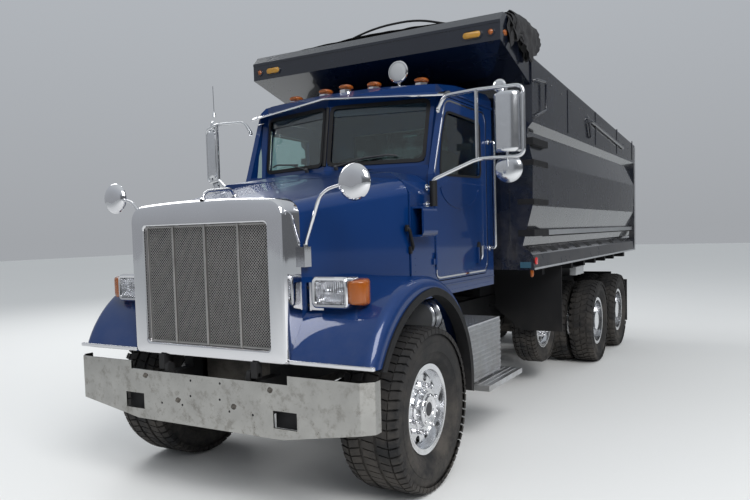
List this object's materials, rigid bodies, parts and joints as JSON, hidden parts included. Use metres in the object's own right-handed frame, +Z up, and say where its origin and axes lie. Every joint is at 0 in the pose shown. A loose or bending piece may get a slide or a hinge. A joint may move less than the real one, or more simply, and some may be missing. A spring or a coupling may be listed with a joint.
{
  "type": "dump truck",
  "caption": "Long-hood dump truck with a tilting load bed and hinged tailgate, hood and doors, steered front wheels and twin rear wheels.",
  "frame": {"origin": "on the ground, under the middle of the bounding box", "axes": "+Y towards the truck's rear along its length, +X towards its left side, +Z up"},
  "size_m": [3.2629, 8.3, 3.785],
  "materials": {
    "blue_paint": "gloss",
    "black_paint": "gloss",
    "frame_black": "satin",
    "chrome": "polished",
    "grille_steel": "satin",
    "mirror_steel": "polished",
    "alloy": "polished",
    "ribbed_alloy": "satin",
    "rubber": "matt",
    "tyre": "matt",
    "glass": "clear",
    "lamp_amber": "clear lens",
    "lamp_clear": "bright",
    "plastic": "grained",
    "seat_cloth": "woven",
    "tarp_cloth": "coated",
    "steel_bright": "ground",
    "iron": "rough"
  },
  "bodies": {
    "chassis": {"frame": "frame_black", "front_bumper": "chrome", "engine_block": "iron", "radiator": "plastic", "front_axle": "iron", "springs": "iron", "drive_axles": "iron", "pusher_axle": "iron", "tanks": "ribbed_alloy", "steps": "ribbed_alloy", "exhaust": "steel_bright", "mud_flaps": "rubber", "cab_shell": "blue_paint", "cab_glass": "glass", "sun_visor": "blue_paint", "roof_lamps": "lamp_amber", "mirrors_and_rails": "mirror_steel", "air_scoops": "blue_paint", "dash": "plastic", "seats": "seat_cloth"},
    "hood": {"hood": "blue_paint", "grille_surround": "chrome", "grille": "grille_steel", "fenders": "blue_paint", "fender_flares": "rubber", "headlamps": "lamp_clear", "hood_mirrors": "mirror_steel"},
    "knuckle_left": {"knuckle_left": "iron"},
    "wheel_front_left": {"tyre_front_left": "tyre", "wheel_front_left": "alloy"},
    "wheel_pusher_left": {"tyre_pusher_left": "tyre", "wheel_pusher_left": "alloy"},
    "wheel_drive_front_left": {"tyres_drive_front_left": "tyre", "wheels_drive_front_left": "alloy"},
    "wheel_drive_rear_left": {"tyres_drive_rear_left": "tyre", "wheels_drive_rear_left": "alloy"},
    "door_left": {"door_left": "blue_paint", "door_glass_left": "glass"},
    "knuckle_right": {"knuckle_right": "iron"},
    "wheel_front_right": {"tyre_front_right": "tyre", "wheel_front_right": "alloy"},
    "wheel_pusher_right": {"tyre_pusher_right": "tyre", "wheel_pusher_right": "alloy"},
    "wheel_drive_front_right": {"tyres_drive_front_right": "tyre", "wheels_drive_front_right": "alloy"},
    "wheel_drive_rear_right": {"tyres_drive_rear_right": "tyre", "wheels_drive_rear_right": "alloy"},
    "door_right": {"door_right": "blue_paint", "door_glass_right": "glass"},
    "bed": {"bed_shell": "black_paint", "bed_frame": "frame_black", "cab_shield": "black_paint", "tarp": "tarp_cloth", "bed_lamps": "lamp_amber"},
    "tailgate": {"tailgate": "black_paint"},
    "hoist_barrel": {"hoist_barrel": "frame_black"},
    "hoist_stage_1": {"hoist_stage_1": "steel_bright"},
    "hoist_stage_2": {"hoist_stage_2": "steel_bright"},
    "hoist_stage_3": {"hoist_stage_3": "steel_bright"}
  },
  "joints": [
    {"name": "hood_tilt", "type": "hinge", "parent": "chassis", "child": "hood", "pos_m": [0, -4.1, 0.9], "axis": [1, 0, 0], "range_deg": [0, 70]},
    {"name": "steer_left", "type": "hinge", "parent": "chassis", "child": "knuckle_left", "pos_m": [0.86, -3.255, 0.565], "axis": [0, 0, 1], "range_deg": [-30, 30]},
    {"name": "roll_front_left", "type": "hinge", "parent": "knuckle_left", "child": "wheel_front_left", "pos_m": [1.029, -3.255, 0.565], "axis": [1, 0, 0], "continuous": true},
    {"name": "roll_pusher_left", "type": "hinge", "parent": "chassis", "child": "wheel_pusher_left", "pos_m": [0.79, 0.45, 0.695], "axis": [1, 0, 0], "continuous": true},
    {"name": "roll_drive_front_left", "type": "hinge", "parent": "chassis", "child": "wheel_drive_front_left", "pos_m": [1, 1.884, 0.533], "axis": [1, 0, 0], "continuous": true},
    {"name": "roll_drive_rear_left", "type": "hinge", "parent": "chassis", "child": "wheel_drive_rear_left", "pos_m": [1, 3.226, 0.533], "axis": [1, 0, 0], "continuous": true},
    {"name": "door_left_swing", "type": "hinge", "parent": "chassis", "child": "door_left", "pos_m": [0.958, -2.578, 1.8], "axis": [0, 0, -1], "range_deg": [0, 60]},
    {"name": "steer_right", "type": "hinge", "parent": "chassis", "child": "knuckle_right", "pos_m": [-0.86, -3.255, 0.565], "axis": [0, 0, 1], "range_deg": [-30, 30]},
    {"name": "roll_front_right", "type": "hinge", "parent": "knuckle_right", "child": "wheel_front_right", "pos_m": [-1.029, -3.255, 0.565], "axis": [1, 0, 0], "continuous": true},
    {"name": "roll_pusher_right", "type": "hinge", "parent": "chassis", "child": "wheel_pusher_right", "pos_m": [-0.79, 0.45, 0.695], "axis": [1, 0, 0], "continuous": true},
    {"name": "roll_drive_front_right", "type": "hinge", "parent": "chassis", "child": "wheel_drive_front_right", "pos_m": [-1, 1.884, 0.533], "axis": [1, 0, 0], "continuous": true},
    {"name": "roll_drive_rear_right", "type": "hinge", "parent": "chassis", "child": "wheel_drive_rear_right", "pos_m": [-1, 3.226, 0.533], "axis": [1, 0, 0], "continuous": true},
    {"name": "door_right_swing", "type": "hinge", "parent": "chassis", "child": "door_right", "pos_m": [-0.958, -2.578, 1.8], "axis": [0, 0, 1], "range_deg": [0, 60]},
    {"name": "bed_tilt", "type": "hinge", "parent": "chassis", "child": "bed", "pos_m": [0, 3.8, 1.2], "axis": [-1, 0, 0], "range_deg": [0, 45]},
    {"name": "tailgate_swing", "type": "hinge", "parent": "bed", "child": "tailgate", "pos_m": [0, 4.115, 2.97], "axis": [1, 0, 0], "range_deg": [0, 60]},
    {"name": "hoist_lean", "type": "hinge", "parent": "chassis", "child": "hoist_barrel", "pos_m": [0, -1.05, 0.95], "axis": [-1, 0, 0], "range_deg": [0, 28]},
    {"name": "hoist_slide_1", "type": "slide", "parent": "hoist_barrel", "child": "hoist_stage_1", "axis": [0, 0, 1], "range_m": [0, 1.2]},
    {"name": "hoist_slide_2", "type": "slide", "parent": "hoist_stage_1", "child": "hoist_stage_2", "axis": [0, 0, 1], "range_m": [0, 1.2]},
    {"name": "hoist_slide_3", "type": "slide", "parent": "hoist_stage_2", "child": "hoist_stage_3", "axis": [0, 0, 1], "range_m": [0, 1.2]}
  ],
  "couplings": [
    {"joint": "steer_right", "follows": "steer_left", "ratio": 1},
    {"joint": "hoist_lean", "follows": "bed_tilt", "ratio": 0.6178},
    {"joint": "hoist_slide_1", "follows": "bed_tilt", "m_per_rad": 1.527},
    {"joint": "hoist_slide_2", "follows": "bed_tilt", "m_per_rad": 1.527},
    {"joint": "hoist_slide_3", "follows": "bed_tilt", "m_per_rad": 1.527}
  ]
}
